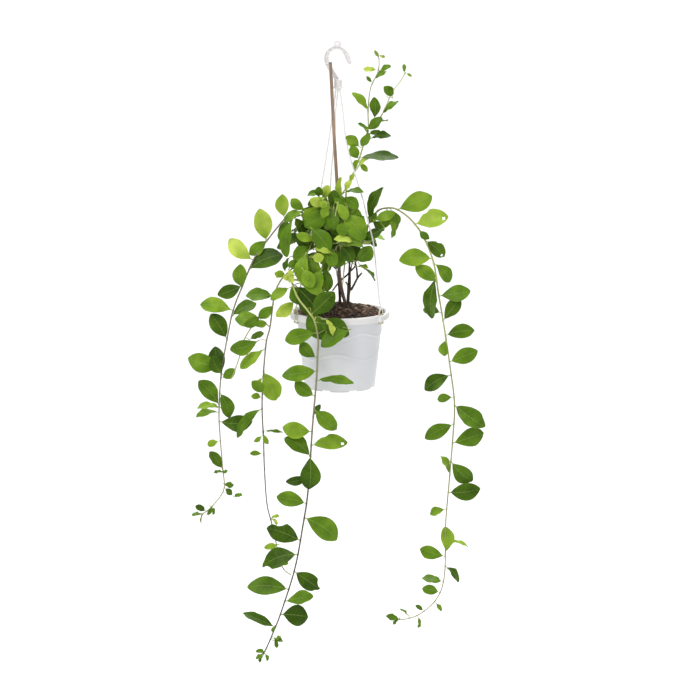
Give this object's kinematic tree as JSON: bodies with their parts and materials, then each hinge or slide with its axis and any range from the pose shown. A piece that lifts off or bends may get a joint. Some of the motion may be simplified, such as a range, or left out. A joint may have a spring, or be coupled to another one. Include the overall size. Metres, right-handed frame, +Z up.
{
  "type": "potted curtain creeper",
  "caption": "Hanging pot on a three-strand hook hanger, holding a staked climbing plant with a leafy crown and long trailing vines.",
  "frame": {"origin": "the saddle of the hook, the spot that rests on a rail or ceiling hook", "axes": "+Z up, the viewer of the picture at -Y, +X to the viewer's right"},
  "size_m": [0.525, 0.2143, 1.0751],
  "materials": {
    "pot_plastic": "white moulded plastic, satin",
    "bark_mix": "coarse dark brown bark crumbs, matt",
    "hanger_plastic": "translucent moulded plastic, glossy",
    "bamboo": "dry cane, light brown, semi-matt",
    "bark": "grey-brown twig bark, matt",
    "leaf_mid": "glossy mid-green leaves",
    "leaf_light": "glossy light green leaves",
    "leaf_deep": "glossy dark green leaves",
    "leaf_young": "young yellow-green leaves"
  },
  "bodies": {
    "root": {"pot": "pot_plastic", "potting_mix": "bark_mix", "hanger_hook": "hanger_plastic", "hanger_strand_left": "hanger_plastic", "hanger_strand_right": "hanger_plastic", "hanger_strand_back": "hanger_plastic", "stake": "bamboo", "woody_stems": "bark", "vine_left": "leaf_mid", "vine_inner": "leaf_light", "vine_front": "leaf_deep", "vine_right": "leaf_mid", "upright_shoot": "leaf_young", "crown_shoot_01": "leaf_mid", "crown_shoot_02": "leaf_light", "crown_shoot_03": "leaf_deep", "crown_shoot_04": "leaf_young", "crown_shoot_05": "leaf_deep", "crown_shoot_06": "leaf_mid", "crown_shoot_07": "leaf_light", "crown_shoot_08": "leaf_deep", "crown_shoot_09": "leaf_young", "crown_shoot_10": "leaf_deep", "crown_shoot_11": "leaf_mid", "crown_shoot_12": "leaf_light", "crown_shoot_13": "leaf_deep", "crown_shoot_14": "leaf_young", "crown_shoot_15": "leaf_deep", "crown_shoot_16": "leaf_mid", "crown_shoot_17": "leaf_light", "crown_shoot_18": "leaf_deep", "crown_shoot_19": "leaf_young", "crown_shoot_20": "leaf_deep"}
  },
  "joints": []
}
